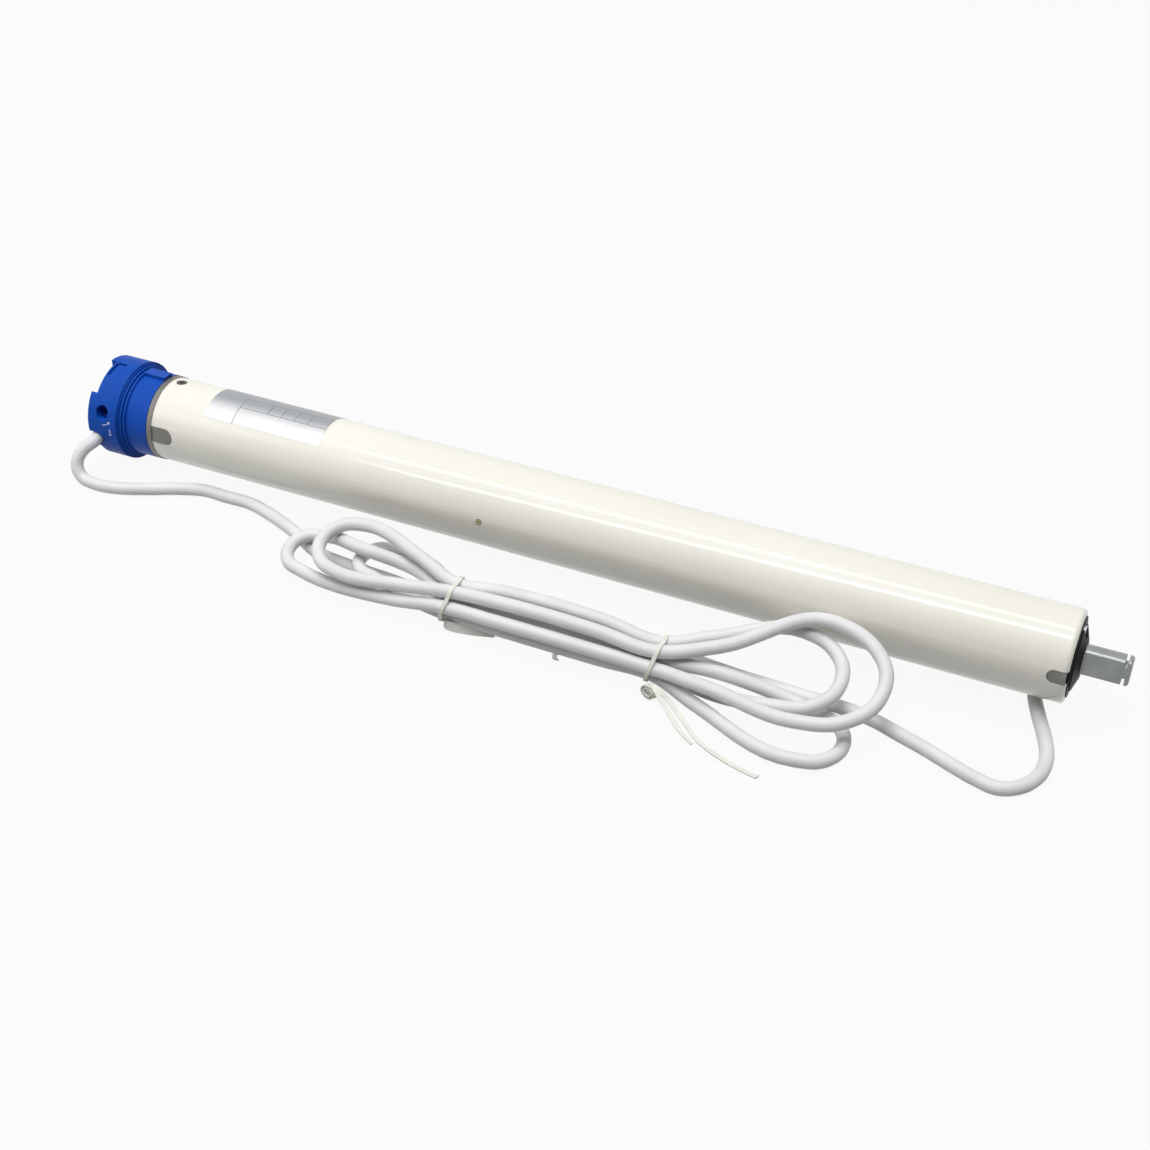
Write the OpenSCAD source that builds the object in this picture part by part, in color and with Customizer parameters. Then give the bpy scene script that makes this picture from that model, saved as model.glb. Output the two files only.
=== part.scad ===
/* [Tube] */
// Outer diameter of the motor tube
tube_d = 45; // [44:0.5:48]
// Wall of the motor tube
tube_wall = 1.2; // [1:0.1:1.4]
// Length of the tube from the casting's collar to the rolled end
tube_len = 488; // [480:1:560]
// Turn of the whole motor about its own axis as it lies on the table
roll = 8.4; // [0:0.1:12]

/* [Head] */
// Outer diameter of the head's flange
flange_d = 53.5; // [53:0.5:56]
// Length of the head's flange
flange_len = 18.4; // [17.5:0.1:20]
// Depth by which three sectors of the rim are set back
rim_step = 3.7; // [2.5:0.1:3.7]
// Width of the notch that the cord leaves through
notch_w = 8.4; // [8:0.1:9]
// Length of the running part of the crown ring
crown_len = 14.2; // [14:0.1:16]

/* [Drive end] */
// Size of the drive shaft across its two flats
shaft_af = 8.4; // [8:0.1:10]
// Diameter of the bar that the flats are milled on
shaft_round_d = 14.4; // [14:0.1:15]
// Length by which the shaft stands out of the tube
shaft_out = 25; // [22:0.5:30]
// Turn of the flats against the tube's slots
shaft_turn = 0; // [0:1:20]

/* [Cord] */
// Diameter of the cord
cord_d = 6.8; // [6:0.1:6.8]
// Where the sheath of the run behind the tube ends, along the tube
cord_end_x = 120; // [100:5:160]

/* [Hidden] */
$fn = 96;

// Clearances: a running shaft, a loose hole and a piece that slides into the tube
run = 0.05;
loose = 0.3;
slip = 0.2;
// How far a cutting shape reaches past the face it opens
past = 1;

// The head: rim, cover recess, wall behind it, and the journal that the crown ring turns on
flange_r = flange_d / 2;
rim_wall = 4;
recess_d = flange_d - 2 * rim_wall;
cover_x = rim_step + 0.2;
cover_t = 2.4;
post_x = cover_x + cover_t + 0.1;
wall_x = flange_len - 4;
collar_len = 1.4;
collar_d = flange_d - 3.5;
hub_x = flange_len + collar_len;
journal_d = tube_d - 7;
journal_end = hub_x + 7.5;
crown_x0 = hub_x + loose;
crown_x1 = crown_x0 + crown_len;
plate_x = crown_x1 + loose;
plate_t = 2.8;
tube_x = plate_x + plate_t;
neck_d = journal_d - 4.6;
neck_bore = neck_d - 8.4;
boss_d = 18;
socket_af = 10.2;
post_d = 12;
post_r = 14.5;
post_angles = [60, 240];
across_angles = [90, 270];
along_angles = [0, 180];
thirds = [0, 120, 240];
insert_d = 8;
insert_len = 7;
screw_bore = 5;
screw_pass = 6.6;
wire_hole = 6;
wire_r = 8;
sector = 48;
notch_angle = -13;
cord_x = 3.6;
groove_w = 1.6;
groove_depth = 1.2;
groove_x = rim_step + 1.2;
groove_leg = 6;
groove_turn = 21;
edge = 0.8;

// The two end-stop adjusters, reached through holes in the flange
adjust_x = 8.8;
adjust_up_angle = 24;
adjust_down_angle = -54;
adjust_angles = [adjust_up_angle, adjust_down_angle];
adjust_hole = 7.4;
adjust_head = 6.2;
adjust_stem = 5;
adjust_seat = 18;
adjust_top = 22;
adjust_foot = 10.4;
adjust_boss = 10;
adjust_boss_r = 11.5;
adjust_socket = 4;
adjust_socket_deep = 2.6;
adjust_ramp = 6.8;
adjust_ramp_r = adjust_top + 1.6;
adjust_ramp_len = 8;
adjust_ramp_tilt = 25;

// The crown ring: outside, key for the roller's end, and inner teeth that drive the end stops
crown_d = tube_d + 1;
crown_lip_d = crown_d + 2.2;
crown_lip = 1.3;
key_w = 7.4;
key_r = crown_d / 2 + 1.5;
key_inset = 0.8;
crown_teeth = 60;
pinion_teeth = 15;
crown_mod = (journal_d - 2) / crown_teeth;
crown_gear_x = journal_end + 0.5;
crown_gear_len = 4.6;
pinion_r = crown_mod * (crown_teeth - pinion_teeth) / 2;
pinion_x = crown_gear_x + 0.3;
pinion_len = 4;
pinion_window = 11;
spindle_d = 3;
spindle_x = hub_x + 2.6;
cam_d = 9;
cam_x = tube_x + 11;
cam_len = 5;

// The tube, its slots and the casting that plugs its head end
tube_r = tube_d / 2;
tube_bore = tube_d - 2 * tube_wall;
fit_d = tube_bore - 2 * slip;
fit_r = fit_d / 2;
drive_x = tube_x + tube_len;
roll_r = 2.4;
lip_w = 0.6;
head_slot_w = 9.2;
head_slot_len = 13;
drive_slot_w = 6.9;
drive_slot_len = 9.4;
spigot_len = 17.6;
spigot_bore = fit_d - 5.2;
plate_d = tube_d + 0.8;
cast_bore = neck_bore + 1;
flange_screw_r = neck_d / 2 - 2.1;
flange_screw_d = 2.5;
flange_screw_head = 4.4;
flange_screw_h = 1.8;
flange_screw_len = 7;
tube_screw_x = tube_x + 5.5;
tube_screw_head = 5.6;
tube_screw_shank = 3;
tube_screw_deep = spigot_bore / 2 + 0.4;
tube_screw_cross = [3.4, 1.4, 0.8];
label_x = tube_x + 29.6;
label_len = 69.5;
label_from = 51;
label_turn = 102;
label_t = 0.12;
label_glue = 0.02;

// The end-stop unit, the capacitor and the leads behind it
chassis_x = tube_x + 3.6;
chassis_t = 3.5;
chassis_d = spigot_bore - 0.4;
rail_len = 34.5;
rail_w = 8;
rail_r1 = chassis_d / 2 - 0.7;
rail_r0 = rail_r1 - 4.6;
chassis_bore = 10;
head_room = 0.6;
bulkhead_x = chassis_x + chassis_t + rail_len;
bulkhead_t = 4;
bulkhead_hole = 8;
bulkhead_hole_r = 10;
hole_angles = [45, 225];
switch_len = 13;
switch_y0 = 7;
switch_y1 = 13.5;
switch_z0 = 5;
switch_z1 = 11;
switch_tag = [4, 1, 1.6];
switch_tag_in = 2.5;
cap_x = bulkhead_x + bulkhead_t;
cap_d = fit_d - 7.2;
cap_len = 64;
cap_tab_len = 6;
cap_tab_w = 6.3;
cap_tab_t = 0.8;
cap_tab_y = 6;
collar_w = 8;
collar_at = cap_len - 12;
lead_d = 2;
lead_angles = [45, 135, 225, 315];
lead_r = (cap_d + fit_d) / 4;

// Motor, brake and gearbox are set out from the drive end
bell_len = 18;
core_len = 100;
nose_len = 68.3;
ring_len = 60.6;
face_t = 3.8;
nose_x1 = drive_x - tube_wall - 0.1 - face_t;
nose_x0 = nose_x1 - nose_len;
ring_x = nose_x0 - ring_len;
input_t = 5;
input_x = ring_x - input_t;
brake_len = 28.4;
brake_x = input_x - brake_len;
front_x = brake_x - bell_len;
core_x = front_x - core_len;
rear_x = core_x - bell_len;
bell_wall = 4;
bell_boss_d = 24;
bell_boss_len = 10;
bell_skirt = 2.6;
bearing_d = 19;
bearing_w = 6;
bearing_bore = 8;
bell_bore = 12;
pin_x = rear_x + 10.1;
pin_d = 3.2;
pin_r0 = fit_r - bell_skirt + 0.2;
pin_r1 = tube_r + 0.1;
core_bore = 25.4;
rotor_d = 24.6;
rotor_inset = 1;
slot_angles = [for (i = [0:11]) i * 30];
slot_r0 = core_bore / 2 + 0.8;
slot_r1 = fit_r - 3.1;
slot_w = 4;
slot_gap = 0.2;
turn_len = 10;
brake_ring_len = 20;
brake_bore = 18;
brake_skirt = 1.6;
coil_x = brake_x + 6;
coil_r0 = 11;
coil_r1 = fit_r - 3.1;
coil_gap = 0.1;
coil_back = 0.4;
arm_x = brake_x + brake_ring_len + 0.6;
arm_t = 3;
arm_d = fit_d - 2 * brake_skirt - 1.6;
disc_x = arm_x + arm_t + 0.4;
disc_t = 4;
disc_d = arm_d - 3.4;
input_bore = 11;

// Three equal planetary stages that share one ring gear
gear_pa = 25;
gear_add = 0.8;
gear_ded = 1.05;
gear_play = 0.16;
sun_teeth = 12;
planet_teeth = 21;
ring_teeth = 54;
ring_wall = 2.8675;
gear_mod = (fit_d - 2 * ring_wall) / (ring_teeth + 2 * gear_ded);
planet_at = gear_mod * (sun_teeth + planet_teeth) / 2;
planet_pin = 3;
carrier_d = (ring_teeth - 2 * gear_add) * gear_mod - 1.66;
sun_root_d = (sun_teeth - 2 * gear_ded) * gear_mod - 0.035;
pin_short = 0.4;
// Where each stage starts behind the input plate, and the width of its planets
stage_at = [2.6, 18.6, 38.1];
stage_w = [9, 12, 16];
stage_gap = 1;
carrier_t = [4, 4.5, 5.1];
sun_short = 0.5;
output_d = 16;
bush_d = 20;
bush_len = 12;
bush_in = 2;
nose_bore = 17;
face_d = fit_d - 2.2;
tab_end = 0.7;
tab_gap = 0.3;
tab_inset = 0.5;
tab_r0 = face_d / 2 + loose;
face_bore = 17;
face_rim_d = face_d - 1.6;
face_rim = 0.5;
face_step_d = face_rim_d - 6.4;
face_step = 1.3;
face_cone_d = 18.4;
face_cone = 3.6;
face_seat = 0.1;
journal_short = 0.6;
face_screw_r = face_d / 2 - 6;
face_screw_d = 3;
face_screw_head = 5.6;
face_screw_h = 1.2;
face_screw_len = 20;
face_screw_cross = [1.2, 3.2, 0.8];
flat_from = face_cone;
clip_groove_w = 1.4;
clip_groove_from = 2;
clip_groove_d = shaft_af + 0.2;
tip_edge = 0.8;

blue = [0.07, 0.27, 0.68];
dark_blue = [0.05, 0.2, 0.5];
zinc = [0.6, 0.61, 0.62];
cream = [0.9, 0.9, 0.85];
steel = [0.72, 0.73, 0.75];
black = [0.08, 0.08, 0.09];
brass = [0.8, 0.62, 0.28];
copper = [0.72, 0.4, 0.22];
white = [0.93, 0.93, 0.92];
grey = [0.45, 0.46, 0.48];

// Unit vector, and the point at radius r and angle a that the front of the motor counts from
function unit(v) = v / norm(v);
function front(x, r, a) = [x, -r * cos(a), r * sin(a)];

// Angle of an involute at radius r from its start, in degrees
function roll_off(rb, r) =
  let (t = sqrt(max(r * r / (rb * rb) - 1, 0)))
  t * 180 / PI - atan(t);

// Half angle of a tooth at radius r, for a tooth that is thinned by play at its pitch circle
function half_tooth(teeth, m, r, play) =
  let (rp = teeth * m / 2, rb = rp * cos(gear_pa))
  90 / teeth - play / (4 * rp) * 180 / PI + roll_off(rb, rp) - roll_off(rb, max(r, rb));

// Outline of a spur gear with a tooth at angle 0, between two given radii
function gear_outline(teeth, m, r0, r1, play) =
  let (rb = teeth * m / 2 * cos(gear_pa), rm = (max(r0, rb) + r1) / 2)
  let (rs = r0 < rb - 0.02 ? [r0, rb, rm, r1] : [r0, rm, r1])
  let (n = len(rs))
  [for (i = [0:teeth - 1]) for (k = [0:2 * n - 1])
    let (j = k < n ? k : 2 * n - 1 - k, side = k < n ? -1 : 1)
    let (a = i * 360 / teeth + side * half_tooth(teeth, m, rs[j], play))
    rs[j] * [cos(a), sin(a)]];

// Round bar, cone and tube along the motor's axis
module rod(x0, x1, d) {
  translate([x0, 0, 0]) rotate([0, 90, 0]) cylinder(d = d, h = x1 - x0);
}

module cone(x0, x1, d0, d1) {
  translate([x0, 0, 0]) rotate([0, 90, 0]) cylinder(d1 = d0, d2 = d1, h = x1 - x0);
}

module pipe(x0, x1, d, bore) {
  difference() {
    rod(x0, x1, d);
    rod(x0 - past, x1 + past, bore);
  }
}

// Turns what is built on the front of the motor to angle a, upwards
module facing(a) {
  rotate([-a, 0, 0]) children();
}

// Round bar that points out of the axis, between radii r0 and r1, on the front
module spoke(x, r0, r1, d) {
  translate([x, -r1, 0]) rotate([-90, 0, 0]) cylinder(d = d, h = r1 - r0);
}

// Repeats what is built on the axis at radius r, at angles that count from the motor's roll
module ring_of(angles, r) {
  for (a = angles) facing(roll + a) translate([0, -r, 0]) children();
}

// Box on the front between two stations and two radii
module block(x0, x1, r0, r1, w) {
  translate([x0, -r1, -w / 2]) cube([x1 - x0, r1 - r0, w]);
}

// Plate of outline points that lies across the axis, with its first direction to the front
module across(x0, x1) {
  translate([x0, 0, 0]) rotate([0, 90, 0]) rotate([0, 0, -90]) linear_extrude(x1 - x0) children();
}

module gear(x0, x1, teeth, m, play) {
  r = teeth * m / 2;
  across(x0, x1) polygon(gear_outline(teeth, m, r - gear_ded * m, r + gear_add * m, play));
}

// Room of an inner gear: a gear outline that is a little too wide
module gear_room(x0, x1, teeth, m, play) {
  r = teeth * m / 2;
  across(x0, x1) polygon(gear_outline(teeth, m, r - gear_add * m, r + gear_ded * m, -play));
}

// Wedge of the turn from angle a over the angle w
module wedge(x0, x1, a, w, r) {
  facing(a + w / 2) across(x0, x1) polygon([[0, 0], [r, -r * tan(w / 2)], [r, r * tan(w / 2)]]);
}

// Slot on the front that is open at x0 and round at x1
module open_slot(x0, x1, w, r0, r1) {
  translate([x0, -r1, -w / 2]) cube([x1 - w / 2 - x0, r1 - r0, w]);
  spoke(x1 - w / 2, r0, r1, w);
}

// Blue housing of the head: rim, wall, journal of the crown ring and neck
module head_housing() {
  color(blue) difference() {
    union() {
      difference() {
        union() {
          rod(0, flange_len - edge, flange_d);
          rod(flange_len - edge, flange_len, flange_d - 2 * edge);
          rod(flange_len, hub_x, collar_d);
          rod(hub_x, journal_end, journal_d);
          rod(journal_end, plate_x, neck_d);
        }
        rod(-past, wall_x, recess_d);
        rod(journal_end, plate_x + past, neck_bore);
      }
      rod(post_x, wall_x + past, boss_d);
      ring_of(post_angles, post_r) rod(post_x, wall_x + past, post_d);
      intersection() {
        rod(0, wall_x + past, recess_d + past);
        for (a = adjust_angles) facing(a) spoke(adjust_x, adjust_boss_r, flange_r, adjust_boss);
      }
    }
    block(post_x - past, wall_x, -socket_af / 2, socket_af / 2, socket_af);
    ring_of(post_angles, post_r) rod(post_x - past, post_x + insert_len, insert_d);
    for (a = adjust_angles) facing(a) {
      spoke(adjust_x, adjust_seat, flange_r + past, adjust_hole);
      spoke(adjust_x, adjust_boss_r - past, adjust_seat + past, adjust_stem + 2 * run);
      translate([adjust_x, -adjust_ramp_r, 0]) rotate([90 + adjust_ramp_tilt, 0, 0])
        cylinder(d = adjust_ramp, h = adjust_ramp_len);
    }
    for (a = [0, 120, 240]) wedge(-past, rim_step, roll + 60 + a - sector / 2, sector, flange_r + past);
    facing(notch_angle) block(-past, cord_x, recess_d / 2 - 2, flange_r + past, notch_w);
    facing(notch_angle) spoke(cord_x, recess_d / 2 - 2, flange_r + past, notch_w);
    for (a = [0, 120]) facing(roll + 60 + a) {
      intersection() {
        pipe(groove_x, groove_x + groove_w, flange_d + past, flange_d - 2 * groove_depth);
        wedge(groove_x - past, groove_x + groove_w + past, 0, groove_turn, flange_r + past);
      }
      facing(groove_turn)
        block(groove_x + groove_w / 2, groove_x + groove_leg, flange_r - groove_depth, flange_r + past,
          groove_w);
    }
    ring_of(across_angles, pinion_r) {
      rod(journal_end + 0.05, plate_x + past, pinion_window);
      rod(spindle_x - 0.3, plate_x, spindle_d + 2 * run);
    }
    ring_of(thirds, flange_screw_r) rod(plate_x - flange_screw_len, plate_x + past, flange_screw_d);
    facing(roll + 180) translate([0, -wire_r, 0]) rod(wall_x - past, plate_x, wire_hole);
  }
}

// Round cover in the head's recess, with the bracket's square and the two screw holes
module head_cover() {
  color(blue) difference() {
    rod(cover_x, cover_x + cover_t, recess_d - 2 * slip);
    for (a = adjust_angles) facing(a)
      spoke(adjust_x, adjust_boss_r - loose, flange_r, adjust_boss + 2 * loose);
    facing(notch_angle) block(0, wall_x, clamp_r0 - loose, flange_r, clamp_w + 2 * loose);
    block(0, wall_x, -socket_af / 2, socket_af / 2, socket_af);
    ring_of(post_angles, post_r) rod(0, wall_x, screw_pass);
  }
}

// Two threaded brass inserts in the posts behind the cover
module bracket_inserts() {
  color(brass) ring_of(post_angles, post_r) pipe(post_x, post_x + insert_len, insert_d, screw_bore);
}

// Block that grips the cord inside the recess
clamp_w = 9.6;
clamp_r0 = 16.5;
clamp_r1 = 22;
clamp_x = 0.5;
grip_gap = 0.1;
module cord_clamp() {
  color(black) facing(notch_angle) block(clamp_x, wall_x, clamp_r0, clamp_r1, clamp_w);
}

// Adjuster screw of an end stop: head with a hexagon socket on a stem
module adjuster(a) {
  color(dark_blue) facing(a) difference() {
    union() {
      spoke(adjust_x, adjust_seat + run, adjust_top, adjust_head);
      spoke(adjust_x, adjust_foot, adjust_top - past, adjust_stem);
    }
    spoke(adjust_x, adjust_top - adjust_socket_deep, adjust_top + past, adjust_socket / cos(30), $fn = 6);
  }
}

module adjuster_up() {
  adjuster(adjust_up_angle);
}

module adjuster_down() {
  adjuster(adjust_down_angle);
}

// Crown ring: turns on the head's journal, keyed to the roller tube, with teeth inside
module crown_ring() {
  color(blue) difference() {
    union() {
      rod(crown_x0, crown_x1, crown_d);
      rod(crown_x0, crown_x0 + crown_lip, crown_lip_d);
      facing(roll + 90) block(crown_x0 + key_inset, crown_x1, journal_d / 2 + 2, key_r, key_w);
    }
    rod(crown_x0 - past, crown_gear_x, journal_d + 2 * run);
    rod(crown_gear_x + crown_gear_len, crown_x1 + past, journal_d + 2 * run);
    facing(roll + 90)
      gear_room(crown_gear_x - past, crown_gear_x + crown_gear_len + past, crown_teeth, crown_mod, gear_play);
  }
}

// Pinion, spindle and cam of one end stop, moulded in one piece
module limit_pinion(a) {
  color(white) facing(roll + a) translate([0, -pinion_r, 0]) difference() {
    union() {
      gear(pinion_x, pinion_x + pinion_len, pinion_teeth, crown_mod, gear_play);
      rod(spindle_x, cam_x + cam_len, spindle_d);
      rod(cam_x, cam_x + cam_len, cam_d);
    }
    translate([cam_x + 1, -cam_d, -0.8]) cube([cam_len, cam_d - 3.4, 1.6]);
  }
}

module limit_pinion_up() {
  limit_pinion(90);
}

module limit_pinion_down() {
  limit_pinion(270);
}

// Zinc casting between head and tube: collar plate, plug in the tube and two slot tabs
module tube_flange() {
  color(zinc) difference() {
    union() {
      rod(plate_x, tube_x, plate_d);
      pipe(tube_x - past, tube_x + spigot_len, fit_d, spigot_bore);
      ring_of(along_angles, 0)
        open_slot(tube_x - past, tube_x + head_slot_len - 0.4, head_slot_w - 0.6, fit_r - 1.5, tube_r - tab_inset);
    }
    rod(plate_x - past, tube_x + past, cast_bore);
    ring_of(across_angles, pinion_r) rod(plate_x - past, tube_x + past, spindle_d + 2 * loose);
    ring_of(thirds, flange_screw_r) rod(plate_x - past, tube_x + past, flange_screw_d + slip);
    ring_of(across_angles, 0) 
      spoke(tube_screw_x, spigot_bore / 2 - past, tube_r, tube_screw_shank + slip / 2);
  }
}

// Three screws that hold the casting to the head's neck
module flange_screws() {
  color(steel) ring_of(thirds, flange_screw_r) {
    rod(plate_x - flange_screw_len, tube_x + past, flange_screw_d);
    rod(tube_x, tube_x + flange_screw_h, flange_screw_head);
  }
}

// White tube with slots at both ends, screw and pin holes, and a rolled drive end
module motor_tube() {
  color(cream) difference() {
    translate([tube_x, 0, 0]) rotate([0, 90, 0]) rotate_extrude() {
      translate([tube_bore / 2, 0]) square([tube_wall, tube_len - roll_r]);
      translate([tube_r - roll_r, tube_len - roll_r]) intersection() {
        difference() {
          circle(r = roll_r);
          circle(r = roll_r - tube_wall);
        }
        square(roll_r + past);
      }
      translate([tube_r - roll_r - lip_w, tube_len - tube_wall]) square([lip_w, tube_wall]);
    }
    for (a = [0, 180]) facing(roll + a) {
      open_slot(tube_x - past, tube_x + head_slot_len, head_slot_w, tube_bore / 2 - past, tube_r + past);
      mirror([1, 0, 0])
        open_slot(-drive_x - past, -drive_x + drive_slot_len, drive_slot_w, tube_bore / 2 - 3, tube_r + past);
      spoke(pin_x, tube_bore / 2 - past, tube_r + past, pin_d);
    }
    ring_of(across_angles, 0)
      spoke(tube_screw_x, tube_bore / 2 - past, tube_r + past, tube_screw_head + slip);
  }
}

// Two dark screws that hold the tube on the casting
module tube_screws() {
  color(black) for (a = [90, 270]) facing(roll + a) difference() {
    union() {
      spoke(tube_screw_x, tube_screw_deep, fit_r + 0.1, tube_screw_shank);
      spoke(tube_screw_x, fit_r, tube_r - 0.1, tube_screw_head);
    }
    for (t = [0, 90]) translate([tube_screw_x, -tube_r + 0.4, 0]) rotate([0, t, 0])
      cube(tube_screw_cross, center = true);
  }
}

// Bare foil label wrapped over the tube
module rating_label() {
  color(white) intersection() {
    pipe(label_x, label_x + label_len, tube_d + 2 * label_t, tube_d + 2 * label_glue);
    wedge(label_x - past, label_x + label_len + past, label_from, label_turn, tube_d);
  }
}

// Frame of the end-stop unit: front disc, two rails and the bulkhead behind
module limit_chassis() {
  color(grey) difference() {
    union() {
      rod(chassis_x, chassis_x + chassis_t, chassis_d);
      rod(bulkhead_x, cap_x, fit_d);
      ring_of(along_angles, 0) block(chassis_x + past, bulkhead_x + past, rail_r0, rail_r1, rail_w);
    }
    ring_of(across_angles, pinion_r) 
      rod(chassis_x - past, chassis_x + chassis_t + past, spindle_d + 2 * run);
    ring_of(hole_angles, bulkhead_hole_r) rod(bulkhead_x - past, cap_x + past, bulkhead_hole);
    rod(chassis_x - past, chassis_x + chassis_t + past, chassis_bore);
    ring_of(thirds, flange_screw_r) rod(chassis_x - past, chassis_x + head_room, flange_screw_head + 1);
  }
}

// Two snap switches beside the cams
module limit_switches() {
  x0 = chassis_x + chassis_t;
  color(black) for (a = [90, 270]) facing(roll + a) {
    translate([x0, -switch_y1, switch_z0]) cube([switch_len, switch_y1 - switch_y0, switch_z1 - switch_z0]);
    translate([x0 + switch_len - past, -switch_y1 + switch_tag_in, switch_z0 + switch_tag_in])
      cube(switch_tag);
  }
}

// Run capacitor with two blade terminals
module run_capacitor() {
  cap_end = cap_x + cap_len;
  color(white) {
    rod(cap_x, cap_end, cap_d);
    for (y = [-cap_tab_y, cap_tab_y])
      block(cap_end - past, cap_end + cap_tab_len, y - cap_tab_t / 2, y + cap_tab_t / 2, cap_tab_w);
  }
}

// Foam collar that centres the capacitor in the tube
module capacitor_collar() {
  color(black) difference() {
    pipe(cap_x + collar_at, cap_x + collar_at + collar_w, fit_d, cap_d);
    ring_of(lead_angles, lead_r)
      rod(cap_x + collar_at - past, cap_x + collar_at + collar_w + past, lead_d + loose);
  }
}

// Four insulated leads from the bulkhead to the motor
module motor_leads() {
  color(copper) ring_of(lead_angles, lead_r) rod(cap_x, rear_x, lead_d);
}

// End bell of the motor, built with its wall at x = 0
module bell() {
  difference() {
    union() {
      rod(0, bell_wall, fit_d);
      rod(0, bell_boss_len, bell_boss_d);
      pipe(bell_wall - past, bell_len, fit_d, fit_d - 2 * bell_skirt);
    }
    rod(-past, bell_boss_len, bell_bore);
    rod(bell_wall, bell_boss_len + past, bearing_d);
  }
}

module motor_rear_bell() {
  color(zinc) difference() {
    translate([rear_x, 0, 0]) bell();
    ring_of(along_angles, 0) spoke(pin_x, pin_r0 - past, tube_r, pin_d);
  }
}

module motor_front_bell() {
  color(zinc) translate([front_x + bell_len, 0, 0]) mirror([1, 0, 0]) bell();
}

// Two brass pins that lock the motor in the tube
module motor_pins() {
  color(brass) ring_of(along_angles, 0) spoke(pin_x, pin_r0, pin_r1, pin_d);
}

// Laminated stator with closed slots
module stator_core() {
  color(grey) difference() {
    pipe(core_x, front_x, fit_d, core_bore);
    ring_of(slot_angles, 0) block(core_x - past, front_x + past, slot_r0, slot_r1, slot_w);
  }
}

// Copper winding: a ring of end turns at each end and a bar through every slot
module stator_winding() {
  color(copper) {
    for (x = [core_x - turn_len, front_x])
      pipe(x, x + turn_len, 2 * slot_r1 - 2 * slot_gap, 2 * slot_r0 + 2 * slot_gap);
    ring_of(slot_angles, 0)
      block(core_x - past, front_x + past, slot_r0 + slot_gap, slot_r1 - slot_gap, slot_w - 2 * slot_gap);
  }
}

// Ball bearings of the rotor, one in each bell
module motor_bearings() {
  color(steel) {
    pipe(rear_x + bell_wall, rear_x + bell_wall + bearing_w, bearing_d, bearing_bore + 2 * run);
    pipe(brake_x - bell_wall - bearing_w, brake_x - bell_wall, bearing_d, bearing_bore + 2 * run);
  }
}

module rotor_core() {
  color(steel) pipe(core_x + rotor_inset, front_x - rotor_inset, rotor_d, bearing_bore);
}

// Rotor shaft with the first sun gear cut on its end
module rotor_shaft() {
  sun_x = ring_x + stage_at[0];
  color(steel) {
    rod(rear_x + bell_wall - past, input_x + input_t - 0.4, bearing_bore);
    rod(input_x + input_t - past, sun_x, sun_root_d);
    facing(roll) gear(sun_x - past, sun_x + stage_w[0] + sun_short, sun_teeth, gear_mod, gear_play);
  }
}

// Brake: ring with the coil's groove and a skirt around the armature
module brake_body() {
  color(grey) difference() {
    union() {
      rod(brake_x, brake_x + brake_ring_len, fit_d);
      pipe(brake_x + brake_ring_len - past, input_x, fit_d, fit_d - 2 * brake_skirt);
    }
    rod(brake_x - past, brake_x + brake_len + past, brake_bore);
    pipe(coil_x, brake_x + brake_ring_len + past, 2 * coil_r1, 2 * coil_r0);
  }
}

module brake_coil() {
  x1 = brake_x + brake_ring_len - coil_back;
  color(copper) pipe(coil_x, x1, 2 * coil_r1 - 2 * coil_gap, 2 * coil_r0 + 2 * coil_gap);
}

module brake_armature() {
  color(steel) pipe(arm_x, arm_x + arm_t, arm_d, brake_bore);
}

module brake_disc() {
  color(black) pipe(disc_x, disc_x + disc_t, disc_d, bearing_bore);
}

module gearbox_plate() {
  color(steel) pipe(input_x, ring_x, fit_d, input_bore);
}

// Inner gear that all three stages run in
module ring_gear() {
  color(grey) difference() {
    rod(ring_x, nose_x0, fit_d);
    facing(roll) gear_room(ring_x - past, nose_x0 + past, ring_teeth, gear_mod, gear_play);
  }
}

module planet(stage, turn) {
  x0 = ring_x + stage_at[stage];
  color(white) facing(roll + turn) translate([0, -planet_at, 0]) difference() {
    gear(x0, x0 + stage_w[stage], planet_teeth, gear_mod, gear_play);
    rod(x0 - past, x0 + stage_w[stage] + past, planet_pin + 2 * run);
  }
}

module planet_first_a() {
  planet(0, 0);
}

module planet_first_b() {
  planet(0, 120);
}

module planet_first_c() {
  planet(0, 240);
}

module planet_second_a() {
  planet(1, 0);
}

module planet_second_b() {
  planet(1, 120);
}

module planet_second_c() {
  planet(1, 240);
}

module planet_third_a() {
  planet(2, 0);
}

module planet_third_b() {
  planet(2, 120);
}

module planet_third_c() {
  planet(2, 240);
}

// Disc and pins of a planet carrier
module carrier(stage) {
  x0 = ring_x + stage_at[stage];
  x1 = x0 + stage_w[stage] + stage_gap;
  rod(x1, x1 + carrier_t[stage], carrier_d);
  ring_of(thirds, planet_at) rod(x0 + pin_short, x1 + past, planet_pin);
}

// Carrier that ends in the sun gear of the next stage
module sun_carrier(stage) {
  x1 = ring_x + stage_at[stage] + stage_w[stage] + stage_gap + carrier_t[stage];
  x2 = ring_x + stage_at[stage + 1] + stage_w[stage + 1] + sun_short;
  color(steel) {
    carrier(stage);
    facing(roll) gear(x1 - past, x2, sun_teeth, gear_mod, gear_play);
  }
}

module carrier_first() {
  sun_carrier(0);
}

module carrier_second() {
  sun_carrier(1);
}

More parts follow.
